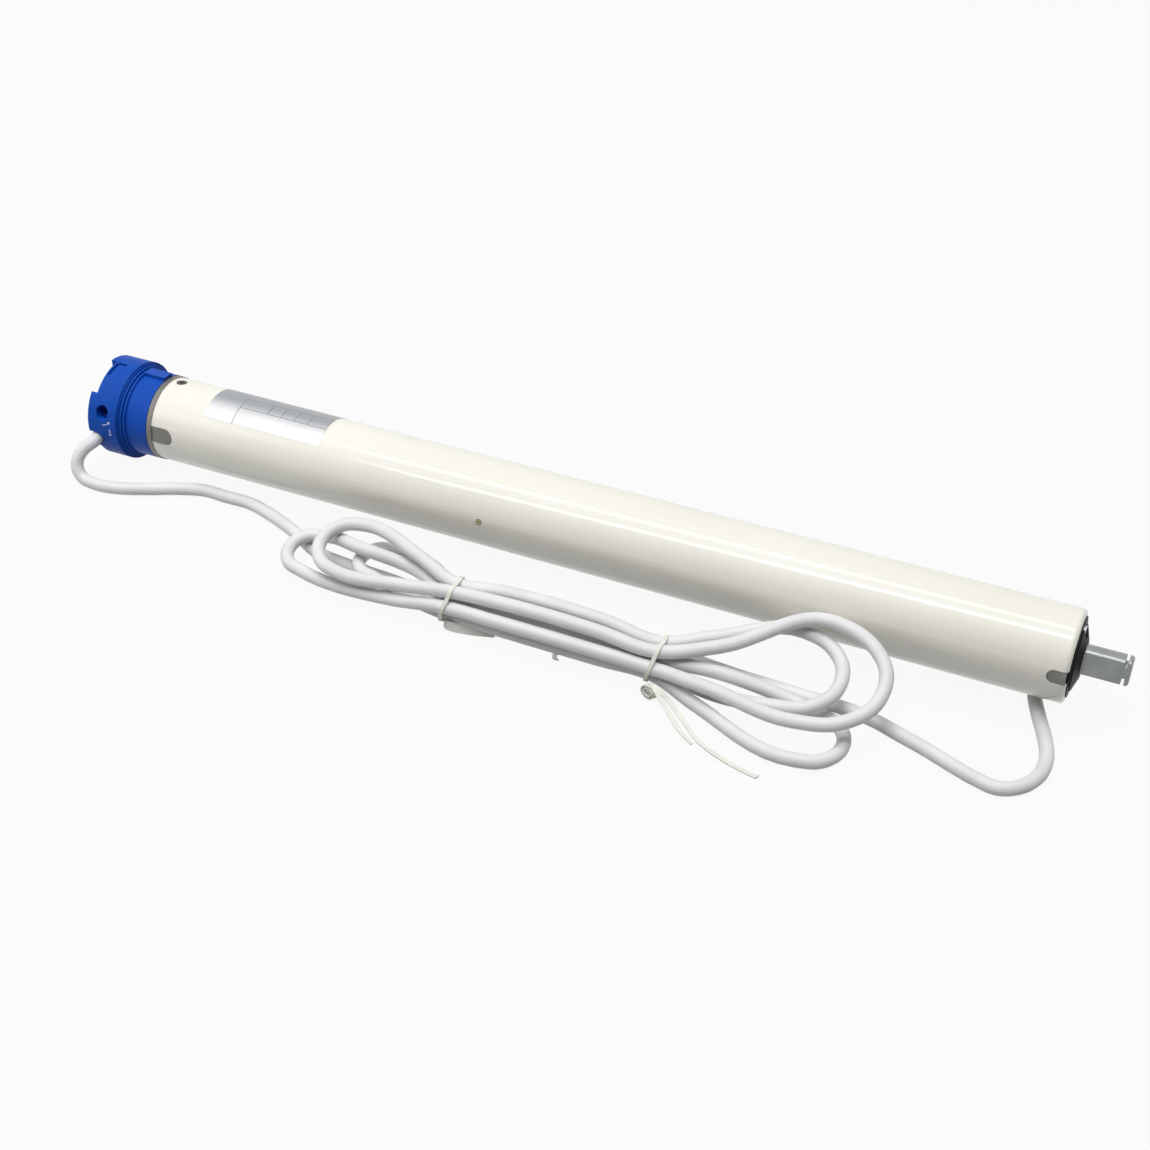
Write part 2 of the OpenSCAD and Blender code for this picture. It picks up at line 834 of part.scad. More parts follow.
// Last carrier in one piece with the drive shaft: round journal, then two milled flats
module output_carrier() {
  x1 = ring_x + stage_at[2] + stage_w[2] + stage_gap;
  flat_x = drive_x + flat_from;
  tip_x = drive_x + shaft_out;
  groove_end = tip_x - clip_groove_from;
  color(steel) {
    carrier(2);
    rod(x1 + past, drive_x - journal_short, output_d);
    facing(roll + shaft_turn) difference() {
      union() {
        rod(drive_x - past, tip_x - tip_edge, shaft_round_d);
        cone(tip_x - tip_edge, tip_x, shaft_round_d, shaft_round_d - 2 * tip_edge);
      }
      for (a = along_angles) facing(a)
        block(flat_x, tip_x + past, shaft_af / 2, shaft_round_d, shaft_round_d + past);
      pipe(groove_end - clip_groove_w, groove_end, shaft_round_d + past, clip_groove_d);
    }
  }
}

// Nose of the gearbox with the seats of both bushes and tabs in the tube's slots
module gearbox_nose() {
  color(zinc) difference() {
    union() {
      rod(nose_x0, nose_x1, fit_d);
      ring_of(along_angles, 0) mirror([1, 0, 0])
        open_slot(tab_end - drive_x, drive_slot_len - tab_gap - drive_x, drive_slot_w - 2 * tab_gap, tab_r0,
          tube_r - tab_inset);
    }
    rod(nose_x0 - past, nose_x1 + past, nose_bore);
    for (x = [nose_x0 - past, nose_x1 - bush_len - bush_in]) rod(x, x + bush_len + bush_in + past, bush_d);
    ring_of(across_angles, face_screw_r)
      rod(nose_x1 - face_screw_len + face_t, nose_x1 + past, face_screw_d);
  }
}

// Two plain bushes that carry the drive shaft
module output_bushes() {
  color(brass) for (x = [nose_x0 + bush_in, nose_x1 - bush_len - bush_in])
    pipe(x, x + bush_len, bush_d, output_d + 2 * run);
}

// Black plate that closes the drive end: it stands out of the tube and rises to the shaft
module end_plate() {
  rim_x = drive_x + face_rim;
  step_x = drive_x + face_step;
  cone_x = drive_x + face_cone;
  color(black) difference() {
    union() {
      rod(nose_x1, nose_x1 + face_t, face_d);
      rod(nose_x1 + past, rim_x, face_rim_d);
      rod(rim_x - past, step_x, face_step_d);
      cone(step_x, cone_x, face_step_d, face_cone_d);
    }
    rod(nose_x1 - past, drive_x - journal_short + loose, face_bore);
    rod(nose_x1 - past, cone_x + past, shaft_round_d + 2 * loose);
    ring_of(across_angles, face_screw_r) {
      rod(nose_x1 - past, cone_x, face_screw_d + slip);
      rod(rim_x - face_seat, cone_x, face_screw_head + 2 * loose);
    }
  }
}

// Two screws that hold the end plate to the nose
module end_plate_screws() {
  head_x = drive_x + face_rim - face_seat;
  color(steel) ring_of(across_angles, face_screw_r) difference() {
    union() {
      rod(head_x - face_screw_len, head_x + face_seat, face_screw_d);
      rod(head_x, head_x + face_screw_h, face_screw_head);
    }
    for (t = [0, 90]) translate([head_x + face_screw_h, 0, 0]) rotate([t, 0, 0])
      cube(face_screw_cross, center = true);
  }
}

// Table under the motor: it lies on the flange and, near the drive end, on the cord
under_x = drive_x - 14.4;
rest_x = 12;
cord_gap = 0.3;
function table(x) = -flange_r - (tube_r + cord_d + cord_gap - flange_r) * (x - rest_x) / (under_x - rest_x);
function up(p) = [p[0], p[1], p[2] + table(p[0])];
low = cord_d / 2 + 0.15;

// Direction of a route at each of its points, and the route with extra points between them
function heading(p, i) =
  i == 0 ? unit(p[1] - p[0]) :
  i == len(p) - 1 ? unit(p[i] - p[i - 1]) :
  let (a = p[i] - p[i - 1], b = p[i + 1] - p[i])
  unit(a * norm(b) / norm(a) + b * norm(a) / norm(b));
function between(p, i, t) =
  let (a = p[i], d = p[i + 1], s = norm(d - a) / 3)
  let (b = a + s * heading(p, i), c = d - s * heading(p, i + 1), u = 1 - t)
  u * u * u * a + 3 * u * u * t * b + 3 * u * t * t * c + t * t * t * d;
function smooth(p, n) =
  concat([for (i = [0:len(p) - 2]) for (k = [0:n - 1]) between(p, i, k / n)], [p[len(p) - 1]]);
function run_length(p) = [for (i = [1:len(p) - 1]) norm(p[i] - p[i - 1])] * [for (i = [1:len(p) - 1]) 1];

// One closed tube along a route
module sweep(p, d, sides) {
  n = len(p);
  rings = [for (i = [0:n - 1])
    let (t = heading(p, i), s = unit(cross(t, [0, 0, 1])), w = cross(s, t))
    for (k = [0:sides - 1]) p[i] + d / 2 * (cos(k * 360 / sides) * s + sin(k * 360 / sides) * w)];
  skin = [for (i = [0:n - 2]) for (k = [0:sides - 1]) for (h = [0, 1])
    let (a = i * sides + k, b = i * sides + (k + 1) % sides)
    h == 0 ? [a, b, a + sides] : [b, b + sides, a + sides]];
  start = [for (k = [1:sides - 2]) [0, k + 1, k]];
  end = [for (k = [1:sides - 2]) [(n - 1) * sides, (n - 1) * sides + k, (n - 1) * sides + k + 1]];
  polyhedron(points = rings, faces = concat(skin, start, end));
}

// The hank: seven strands between two ties, joined by three loops at each end.
// A strand runs in one of six slots around a middle one; heights count from the table.
pitch = cord_d + 1.1;
tie_left = 236;
tie_right = 344;
bundle_y = -61;
bundle_h = cord_d / 2 + pitch + 0.7;
slot_turn = 4;
belly = [1, 1.165, 1.22, 1.165, 1];
belly_lift = [0, 1.5, 2, 1.5, 0];
function strand(slot, back) =
  let (p = [for (i = [0:4])
    let (r = slot < 0 ? 0 : pitch * belly[i], a = slot_turn + 60 * slot)
    let (x = tie_left + (tie_right - tie_left) * i / 4)
    [x, bundle_y - r * cos(a), bundle_h + belly_lift[i] + r * sin(a)]])
  back ? [for (i = [4:-1:0]) p[i]] : p;
// A loop: end of its bight, length of the bight, its back and front arm, and the necks of each arm
loop_right_out = [451, 34, [-26.5, 33.5], [-79, 15], [[372, -54, 23.5]], [[376, -73.5, 14.5]]];
loop_right_in = [430, 26, [-27.5, 24], [-70, 12], [[366, -46, 21]], [[368, -65, 4.6]]];
loop_right_low = [440, 17, [-57.5, 3.8], [-91, 3.8], [[376, -59.5, 13]], [[369, -75, 3.9]]];
loop_left_out = [140, 13, [-42, 11.5], [-66, 6.5], [[212, -49.5, 13], [181, -52, 19.5]], [[205, -70, 8.5]]];
loop_left_mid = [160, 17, [-40, 24.5], [-69.5, 15.5], [[212, -48.5, 22]], [[210, -67.5, 17]]];
loop_left_in = [179, 13, [-37, 11.5], [-61, 11], [[214, -40, 11]], [[214, -61.6, 5]]];
function bight(l, s, back_first) =
  let (b = l[2], f = l[3], y = (b[0] + f[0]) / 2, h = (b[1] + f[1]) / 2)
  let (arc = [for (p = [90:-36:-90])
    [l[0] - s * l[1] + s * l[1] * cos(p), y + sin(p) * (b[0] - f[0]) / 2, h + sin(p) * (b[1] - f[1]) / 2]])
  let (all = concat(l[4], arc, [for (i = [len(l[5]) - 1:-1:0]) l[5][i]]))
  back_first ? all : [for (i = [len(all) - 1:-1:0]) all[i]];
hank_in = [[82, -24.2, low], [97, -24.2, low], [114, -29, low], [131, -36, low], [153, -47, low],
  [172, -49.5, low], [200, -51.5, low]];
hank_out = [[362, -50.5, 7.5], [380, -47.5, low], [398, -48, low], [415, -48.5, low], [432, -48.7, low],
  [448, -51, low], [461, -55.3, low]];
hank_route = [for (p = concat(hank_in,
  strand(4, false), bight(loop_right_in, 1, false),
  strand(2, true), bight(loop_left_mid, -1, true),
  strand(1, false), bight(loop_right_out, 1, true),
  strand(0, true), bight(loop_left_out, -1, false),
  strand(-1, false), bight(loop_right_low, 1, true),
  strand(5, true), bight(loop_left_in, -1, false),
  strand(3, false), hank_out)) up(p)];
hank_points = smooth(hank_route, 2);

module cord_hank() {
  color(white) sweep(hank_points, cord_d, 6);
}

// Free cord from the clamp in the head down to the table and on to the hank
lead_route = concat(
  [for (r = [grip_gap, cord_d / 2, cord_d]) front(cord_x, clamp_r1 + r, notch_angle)],
  [for (p = [[0.4, -34.5, 17.5], [-1.2, -38.5, 13.5], [-0.6, -41, 9.5], [2.6, -42.6, 5.6], [11.5, -43.2, low],
    [24, -41.7, low], [39.5, -35.7, low], [54.6, -28.6, low], [68, -24.2, low], [82, -24.2, low]]) up(p)]);

module cord_lead() {
  color(white) sweep(smooth(lead_route, 2), cord_d, 10);
}

// Free cord from the hank around the drive end, under the tube and along behind it
tail_y = 33;
tail_route = [for (p = concat([[461, -55.3, low], [474, -59.6, low]],
  [for (q = [[-38, -64.8], [-26, -69], [-15, -70.8], [-6, -65.5], [-0.5, -55.5], [0.1, -43], [-3.3, -31],
    [-8.4, -19], [-12.8, -8], [-16, 2], [-20, 12], [-27, 22], [-37.5, 29], [-50, 32.2], [-64, tail_y]])
    [drive_x + q[0], q[1], low]],
  [for (i = [1:8]) [drive_x - 64 + (cord_end_x - drive_x + 64) * i / 8, tail_y, low]])) up(p)];

module cord_tail() {
  color(white) sweep(smooth(tail_route, 2), cord_d, 10);
}

// Four cores that stand out of the sheath's end
core_d = 2;
core_off = 1.5;
core_fan = 2.6;
core_out = 42;
module cord_cores() {
  color(copper) for (a = [45, 135, 225, 315]) {
    c = core_off * cos(a);
    s = core_off * sin(a);
    sweep(smooth([for (q = [[0, 1, 1], [8, 1, 1], [22, core_fan, 1.2], [core_out, 1.6 * core_fan, 1.2]])
      up([cord_end_x - q[0], tail_y + q[1] * c, low + q[2] * s])], 2), core_d, 8);
  }
}

// Ties: a band around the bundle and a loose end that lies on the table
tie_w = 1.8;
tie_t = 0.6;
tie_gap = 0.7;
tie_end_d = 1.6;
module bundle(r) {
  hull() for (i = [0:5]) rotate(180 - slot_turn - 60 * i) translate([pitch, 0]) circle(r = r, $fn = 24);
}

module band(x) {
  translate([x - tie_w / 2, bundle_y, table(x) + bundle_h]) rotate([90, 0, 90])
  linear_extrude(tie_w) difference() {
    bundle(cord_d / 2 + tie_gap + tie_t);
    bundle(cord_d / 2 + tie_gap);
  }
}

module hank_tie_left() {
  color(white) {
    band(tie_left);
    sweep(smooth([for (p = [[236, -73, 8.5], [236.5, -74.2, 5], [240, -73.4, 1.6], [248, -73.5, 0.9],
      [258, -75, 0.9]]) up(p)], 2), tie_end_d, 8);
  }
}

module hank_tie_right() {
  color(white) {
    band(tie_right);
    sweep(smooth([for (p = [[344, -73, 8.5], [346, -75, 5], [351, -78, 2], [358, -82, 0.9], [366, -89, 0.9],
      [375, -95.6, 0.9], [391, -101, 0.9]]) up(p)], 2), tie_end_d, 8);
  }
}

// Least gap of the hank's tube to itself, between points that lie well apart along it
hank_skip = 4;
hank_gap = min([for (i = [0:len(hank_points) - 1 - hank_skip]) for (j = [i + hank_skip:len(hank_points) - 1])
  norm(hank_points[i] - hank_points[j])]) - cord_d;
cord_length = run_length(hank_points) + run_length(smooth(lead_route, 2)) + run_length(smooth(tail_route, 2));
echo(hank_gap = hank_gap, cord_length = cord_length);

head_housing();
head_cover();
bracket_inserts();
cord_clamp();
adjuster_up();
adjuster_down();
crown_ring();
tube_flange();
flange_screws();
motor_tube();
tube_screws();
rating_label();
limit_chassis();
limit_pinion_up();
limit_pinion_down();
limit_switches();
run_capacitor();
capacitor_collar();
motor_leads();
motor_rear_bell();
motor_pins();
stator_core();
stator_winding();
motor_front_bell();
motor_bearings();
rotor_core();
rotor_shaft();
brake_body();
brake_coil();
brake_armature();
brake_disc();
gearbox_plate();
ring_gear();
planet_first_a();
planet_first_b();
planet_first_c();
carrier_first();
planet_second_a();
planet_second_b();
planet_second_c();
carrier_second();
planet_third_a();
planet_third_b();
planet_third_c();
output_carrier();
gearbox_nose();
output_bushes();
end_plate();
end_plate_screws();
cord_lead();
cord_hank();
cord_tail();
cord_cores();
hank_tie_left();
hank_tie_right();
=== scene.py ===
import math

import bmesh
import bpy
from mathutils import Matrix, Vector
from mathutils.geometry import interpolate_bezier


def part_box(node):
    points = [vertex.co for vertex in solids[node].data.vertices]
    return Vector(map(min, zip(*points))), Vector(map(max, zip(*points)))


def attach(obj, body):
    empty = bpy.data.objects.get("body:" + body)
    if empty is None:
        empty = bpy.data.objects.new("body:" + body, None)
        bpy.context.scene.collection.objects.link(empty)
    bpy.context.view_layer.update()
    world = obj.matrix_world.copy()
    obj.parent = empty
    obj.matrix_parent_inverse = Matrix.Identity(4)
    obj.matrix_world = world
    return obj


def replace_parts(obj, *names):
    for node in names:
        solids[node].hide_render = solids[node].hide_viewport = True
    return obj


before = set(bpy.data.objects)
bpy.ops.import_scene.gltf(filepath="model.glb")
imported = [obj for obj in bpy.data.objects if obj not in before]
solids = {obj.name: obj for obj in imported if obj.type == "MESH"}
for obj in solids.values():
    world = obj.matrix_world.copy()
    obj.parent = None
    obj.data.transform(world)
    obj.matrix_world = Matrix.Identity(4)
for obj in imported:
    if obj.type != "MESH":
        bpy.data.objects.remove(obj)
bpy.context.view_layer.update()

# The viewpoint: a camera in front of the drive end that looks down along the motor, fitted to the
# edges of the tube and the flange.
eye = bpy.data.cameras.new("eye")
eye.sensor_width = 36
eye.lens = 56.87
eye.clip_start = 0.01
viewpoint = bpy.data.objects.new("viewpoint", eye)
viewpoint.location = (0.5738, -0.6692, 0.5394)
viewpoint.rotation_euler = (math.radians(90 - 37.96), 0, math.radians(24.07))
bpy.context.scene.collection.objects.link(viewpoint)
bpy.context.scene.camera = viewpoint

# The supply cord: round white flexible sheath, 6.8 mm thick. It is gripped in the head, drops to the
# table, is wound in a tied hank in front of the tube, and runs under the drive end and away behind.
cord_d = 6.8
flange_r = 26.75
tube_r = 22.5
drive_x = 525.4
flange_rest_x = 12
under_x = drive_x - 14.4
under_gap = 0.3


def table(x):
    """The height of the table under the motor, which rests on its flange and on the cord."""
    fall = tube_r + cord_d + under_gap - flange_r
    return -flange_r - fall * (x - flange_rest_x) / (under_x - flange_rest_x)


def on_table(p):
    """A point whose height is given over the table."""
    return Vector((p[0], p[1], p[2] + table(p[0])))


low = cord_d / 2 + 0.15
pitch = cord_d + 1.1
bundle_y = -61
bundle_h = cord_d / 2 + pitch + 0.7
tie_left, tie_right = 236, 344
middle_seat = -1
belly = ((1, 0), (1.165, 1.5), (1.22, 2), (1.165, 1.5), (1, 0))


def seat_angle(seat):
    return math.radians(4 + 60 * seat)


def strand(seat, back):
    """One run through both ties, in the middle of the bundle or on one of the six seats round it."""
    run = []
    for i, (wide, lift) in enumerate(belly):
        r = 0 if seat == middle_seat else pitch * wide
        a = seat_angle(seat)
        x = tie_left + (tie_right - tie_left) * i / (len(belly) - 1)
        run.append((x, bundle_y - r * math.cos(a), bundle_h + lift + r * math.sin(a)))
    return run[::-1] if back else run


def bight(end, length, back, front, back_necks, front_necks, side, back_first):
    """A loop at an end of the hank: out through one neck, round the end and in through the other."""
    y, h = (back[0] + front[0]) / 2, (back[1] + front[1]) / 2
    arc = []
    for turn in (90, 54, 18, -18, -54, -90):
        c, s = math.cos(math.radians(turn)), math.sin(math.radians(turn))
        arc.append((end - side * length * (1 - c), y + s * (back[0] - front[0]) / 2,
                    h + s * (back[1] - front[1]) / 2))
    loop = back_necks + arc + front_necks[::-1]
    return loop if back_first else loop[::-1]


notch = math.radians(-13)
notch_x = 3.6
grip_r = 22
hidden_y = 33
hidden_x = drive_x - 64
cord_end_x = 120
cord_route = [Vector((notch_x, -r * math.cos(notch), r * math.sin(notch)))
              for r in (grip_r + 0.1, grip_r + cord_d / 2, grip_r + cord_d)]
cord_route += [on_table(p) for p in (
    [(0.4, -34.5, 17.5), (-1.2, -38.5, 13.5), (-0.6, -41, 9.5), (2.6, -42.6, 5.6), (11.5, -43.2, low),
     (24, -41.7, low), (39.5, -35.7, low), (54.6, -28.6, low), (68, -24.2, low), (82, -24.2, low),
     (97, -24.2, low), (114, -29, low), (131, -36, low), (153, -47, low), (172, -49.5, low),
     (200, -51.5, low)]
    + strand(4, False)
    + bight(430, 26, (-27.5, 24), (-70, 12), [(366, -46, 21)], [(368, -65, 4.6)], 1, False)
    + strand(2, True)
    + bight(160, 17, (-40, 24.5), (-69.5, 15.5), [(212, -48.5, 22)], [(210, -67.5, 17)], -1, True)
    + strand(1, False)
    + bight(451, 34, (-26.5, 33.5), (-79, 15), [(372, -54, 23.5)], [(376, -73.5, 14.5)], 1, True)
    + strand(0, True)
    + bight(140, 13, (-42, 11.5), (-66, 6.5), [(212, -49.5, 13), (181, -52, 19.5)], [(205, -70, 8.5)],
            -1, False)
    + strand(middle_seat, False)
    + bight(440, 17, (-57.5, 3.8), (-91, 3.8), [(376, -59.5, 13)], [(369, -75, 3.9)], 1, True)
    + strand(5, True)
    + bight(179, 13, (-37, 11.5), (-61, 11), [(214, -40, 11)], [(214, -61.6, 5)], -1, False)
    + strand(3, False)
    + [(362, -50.5, 7.5), (380, -47.5, low), (398, -48, low), (415, -48.5, low), (432, -48.7, low),
       (448, -51, low), (461, -55.3, low), (474, -59.6, low)]
    + [(drive_x + dx, y, low) for dx, y in (
        (-38, -64.8), (-26, -69), (-15, -70.8), (-6, -65.5), (-0.5, -55.5), (0.1, -43), (-3.3, -31),
        (-8.4, -19), (-12.8, -8), (-16, 2), (-20, 12), (-27, 22), (-37.5, 29), (-50, 32.2))]
    + [(hidden_x + (cord_end_x - hidden_x) * i / 8, hidden_y, low) for i in range(9)])]


def lay_strand(shape, route, width, material_index=0):
    """One open spline through the route's points, in millimetres, round all the way."""
    line = shape.splines.new("BEZIER")
    line.bezier_points.add(len(route) - 1)
    line.material_index = material_index
    for i, (knot, p) in enumerate(zip(line.bezier_points, route)):
        before = p - route[i - 1] if i else route[1] - p
        after = route[i + 1] - p if i < len(route) - 1 else before
        aim = (before.normalized() * after.length + after.normalized() * before.length).normalized()
        knot.handle_left_type = knot.handle_right_type = "FREE"
        knot.co = p / 1000
        knot.handle_left = (p - aim * before.length / 3) / 1000
        knot.handle_right = (p + aim * after.length / 3) / 1000
        knot.radius = width / shape.bevel_depth / 2000


def new_line(name, width):
    """A round line of one width, still without its strands."""
    shape = bpy.data.curves.new(name, "CURVE")
    shape.dimensions = "3D"
    shape.bevel_depth = width / 2000
    shape.bevel_resolution = 7
    shape.resolution_u = 8
    shape.use_fill_caps = True
    piece = bpy.data.objects.new(name, shape)
    bpy.context.scene.collection.objects.link(piece)
    return piece


supply_cord = new_line("supply_cord", cord_d)
lay_strand(supply_cord.data, cord_route, cord_d)


class Shade:
    """A value in a material that takes part in sums and feeds other nodes."""

    def __init__(self, tree, socket):
        self.tree = tree
        self.socket = socket

    def make(self, kind, settings, feeds, out=0):
        node = self.tree.nodes.new("ShaderNode" + kind)
        for key, value in settings.items():
            if key == "stops":
                while len(node.color_ramp.elements) < len(value):
                    node.color_ramp.elements.new(1)
                for stop, (place, colour) in zip(node.color_ramp.elements, value):
                    stop.position = place
                    stop.color = colour
            else:
                setattr(node, key, value)
        for key, value in feeds.items():
            self.feed(node.inputs[key], value)
        return Shade(self.tree, node.outputs[out])

    def feed(self, socket, value):
        if isinstance(value, Shade):
            self.tree.links.new(value.socket, socket)
        else:
            socket.default_value = value

    def sum(self, operation, first, second):
        return self.make("Math", {"operation": operation}, {0: first, 1: second})

    def __add__(self, other):
        return self.sum("ADD", self, other)

    def __sub__(self, other):
        return self.sum("SUBTRACT", self, other)

    def __rsub__(self, other):
        return self.sum("SUBTRACT", other, self)

    def __mul__(self, other):
        return self.sum("MULTIPLY", self, other)

    def __gt__(self, other):
        return self.sum("GREATER_THAN", self, other)

    def __lt__(self, other):
        return self.sum("LESS_THAN", self, other)

    def cloud(self, scale, detail=2.0, stretch=(1, 1, 1)):
        """Soft noise over the piece, finer with scale, drawn out along an axis by stretch."""
        spread = self.make("Mapping", {}, {"Vector": self, "Scale": stretch})
        return self.make("TexNoise", {}, {"Vector": spread, "Scale": scale, "Detail": detail})

    def parts(self):
        """The place along the motor, across it and up, each as a value of its own."""
        node = self.make("SeparateXYZ", {}, {0: self}).socket.node
        return [Shade(self.tree, out) for out in node.outputs]

    def ease(self, low_end, high_end, first, second):
        """A value that goes softly from first to second while this one goes from its low to its high end."""
        return self.make("MapRange", {"interpolation_type": "SMOOTHSTEP"}, {
            "Value": self, "From Min": low_end, "From Max": high_end, "To Min": first, "To Max": second})

    def emboss(self, shader, strength, depth, relief, over=None):
        """Relief in the surface of a material, over softened normals where it has them."""
        feeds = {"Strength": strength, "Distance": depth, "Height": relief}
        if over is not None:
            feeds["Normal"] = over
        self.feed(shader.inputs["Normal"], self.make("Bump", {}, feeds))

    def mix(self, first, second):
        return self.make("Mix", {"data_type": "RGBA"}, {0: self, 6: first, 7: second}, out=2)


def surface(name, roughness=0.5, metallic=0.0):
    """A new material: its shader, and the place on the piece that its patterns read."""
    material = bpy.data.materials.new(name)
    material.use_nodes = True
    shader = material.node_tree.nodes["Principled BSDF"]
    shader.inputs["Roughness"].default_value = roughness
    shader.inputs["Metallic"].default_value = metallic
    place = material.node_tree.nodes.new("ShaderNodeTexCoord")
    return material, shader, Shade(material.node_tree, place.outputs["Object"])


sheath, skin, at = surface("cord_sheath")
mottle = at.cloud(45, 3)
at.feed(skin.inputs["Base Color"], at.make(
    "ValToRGB", {"stops": ((0.3, (0.69, 0.685, 0.695, 1)), (0.7, (0.765, 0.76, 0.77, 1)))}, {0: mottle}))
at.feed(skin.inputs["Roughness"], at.cloud(220) * 0.14 + 0.36)
at.emboss(skin, 0.25, 0.0002, at.cloud(1400, 1) * 0.3 + at.cloud(130, 1))
supply_cord.data.materials.append(sheath)
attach(supply_cord, "motor")
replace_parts(supply_cord, "cord_lead", "cord_hank", "cord_tail")

# The stripped end of the cord: four insulated copper cores that fan out of the cut sheath.
# Each ends in a few millimetres of bare strands.
core_d, copper_d = 2, 1.1
core_seat = 1.5 * math.sqrt(0.5)
core_colours = (("core_brown", (0.13, 0.045, 0.02)), ("core_blue", (0.02, 0.12, 0.42)),
                ("core_black", (0.02, 0.02, 0.022)), ("core_green", (0.05, 0.3, 0.06)),
                ("core_copper", (0.75, 0.35, 0.18)))
stripe_height = -0.02505
cores = new_line("supply_cores", core_d)
for name, colour in core_colours:
    jacket, skin, at = surface(name, 0.4, 1.0 if name == "core_copper" else 0.0)
    tone = at.cloud(300, 2)
    if name == "core_green":
        stripe = at.parts()[2] > stripe_height
        at.feed(skin.inputs["Base Color"], stripe.mix((*colour, 1), (0.75, 0.6, 0.04, 1)))
    else:
        dark, light = [c * 0.8 for c in colour], [min(c * 1.2, 1) for c in colour]
        at.feed(skin.inputs["Base Color"], tone.mix((*dark, 1), (*light, 1)))
    at.feed(skin.inputs["Roughness"], tone * 0.2 + 0.3)
    cores.data.materials.append(jacket)
for index, (y, z) in enumerate(((1, 1), (-1, 1), (-1, -1), (1, -1))):
    y, z = y * core_seat, z * core_seat
    fan = [on_table((cord_end_x - out, hidden_y + y * side, low + z * rise)) for out, side, rise in (
        (0, 1, 1), (8, 1, 1), (22, 2.6, 1.2), (35, 3.6, 1.2), (42, 4.16, 1.2))]
    tip = fan.pop()
    lay_strand(cores.data, fan, core_d, index)
    lay_strand(cores.data, [fan[-1], fan[-1].lerp(tip, 0.5), tip], copper_d, len(core_colours) - 1)
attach(cores, "motor")
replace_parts(cores, "cord_cores")

# The two ties: flat off-white strips of soft plastic around a wire, bent round the bundle by hand.
# The left one is folded flat under the cord, the right one ends in a rolled curl and two loose tails.
tie_plastic, skin, at = surface("tie_plastic")
tone = at.cloud(350, 3)
at.feed(skin.inputs["Base Color"], tone.mix((0.64, 0.64, 0.575, 1), (0.84, 0.84, 0.775, 1)))
at.feed(skin.inputs["Roughness"], tone * 0.25 + 0.38)
at.emboss(skin, 0.4, 0.0002, at.cloud(700))
tie_thick, tie_wide = 0.6, 2
tie_gap = 0.75
bend_steps = 7


def lay_strip(work, way, facings, widths):
    """A flat strip: an edge drawn along the way step by step, turned to face outwards, then thickened."""
    way = [on_table(p) for p in way]
    last = len(way) - 1
    aims = [(way[min(i + 1, last)] - way[max(i - 1, 0)]).normalized() for i in range(last + 1)]
    rim = edge = None
    drawn = []
    for i in range(last):
        reach = (way[i + 1] - way[i]).length / 3
        bend = interpolate_bezier(way[i], way[i] + aims[i] * reach, way[i + 1] - aims[i + 1] * reach,
                                  way[i + 1], bend_steps)
        for k, p in enumerate(bend[:None if i == last - 1 else -1]):
            share = k / (bend_steps - 1)
            aim = aims[i].lerp(aims[i + 1], share)
            facing = Vector(facings[i]).lerp(Vector(facings[i + 1]), share)
            width = widths[i] + (widths[i + 1] - widths[i]) * share
            side = aim.cross(facing).normalized() * width / 2
            if edge is None:
                rim = [work.verts.new((p - side) / 1000), work.verts.new((p + side) / 1000)]
            else:
                grown = bmesh.ops.extrude_edge_only(work, edges=[edge])["geom"]
                drawn += [g for g in grown if isinstance(g, bmesh.types.BMFace)]
                fresh = [g for g in grown if isinstance(g, bmesh.types.BMVert)]
                rim = sorted(fresh, key=lambda v: (v.co - rim[0].co).length)
                rim[0].co = (p - side) / 1000
                rim[1].co = (p + side) / 1000
            edge = work.edges.get(rim) or work.edges.new(rim)
    bmesh.ops.recalc_face_normals(work, faces=drawn)
    bmesh.ops.solidify(work, geom=drawn, thickness=tie_thick / 1000)


def band(x, lean):
    """The way round the bundle, from under its front over the top and down behind, and its facings."""
    way, facings = [], []
    for turn in range(-64, 297, 15):
        a = math.radians(turn)
        hug = max(math.cos(a - seat_angle(seat)) for seat in range(6))
        r = (pitch + cord_d / 2 + tie_gap) * hug
        way.append((x + lean * math.sin(a), bundle_y - r * math.cos(a), bundle_h + r * math.sin(a)))
        facings.append((0, -math.cos(a), math.sin(a)))
    return way, facings, [tie_wide] * len(way)


def place_piece(name, work, material, body):
    """The finished mesh as a piece of the scene that rides on a body."""
    bmesh.ops.recalc_face_normals(work, faces=work.faces)
    for face in work.faces:
        face.smooth = True
    mesh = bpy.data.meshes.new(name)
    work.to_mesh(mesh)
    work.free()
    mesh.set_sharp_from_angle(angle=math.radians(35))
    mesh.materials.append(material)
    piece = bpy.data.objects.new(name, mesh)
    bpy.context.scene.collection.objects.link(piece)
    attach(piece, body)
    return piece


left = bmesh.new()
lay_strip(left, *band(tie_left, 3.5))
lay_strip(left, [(237.5, -69.6, 5.2), (236.4, -70.9, 4.6), (238.2, -71.5, 3.9), (244, -70.9, 3.5),
                 (252, -69.6, 3), (262, -67, 1.8)],
          [(0, -0.6, -0.8), (-0.9, -0.4, 0), (-0.3, -0.9, 0.3), (0, -0.85, 0.5),
           (0, -0.85, 0.5), (0, -0.8, 0.6)],
          [2, 3, 4.6, 4.8, 3.8, 1.6])
lay_strip(left, [(296.2, -69.6, 6.2), (296, -71.2, 4.6), (296.2, -71.6, 3), (297, -70.6, 1.4)],
          [(0, -0.6, 0.8), (0, -0.9, 0.4), (0, -1, -0.1), (0, -0.7, -0.7)], [2, 2.2, 2.2, 1.8])
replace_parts(place_piece("tie_left", left, tie_plastic, "motor"), "hank_tie_left")

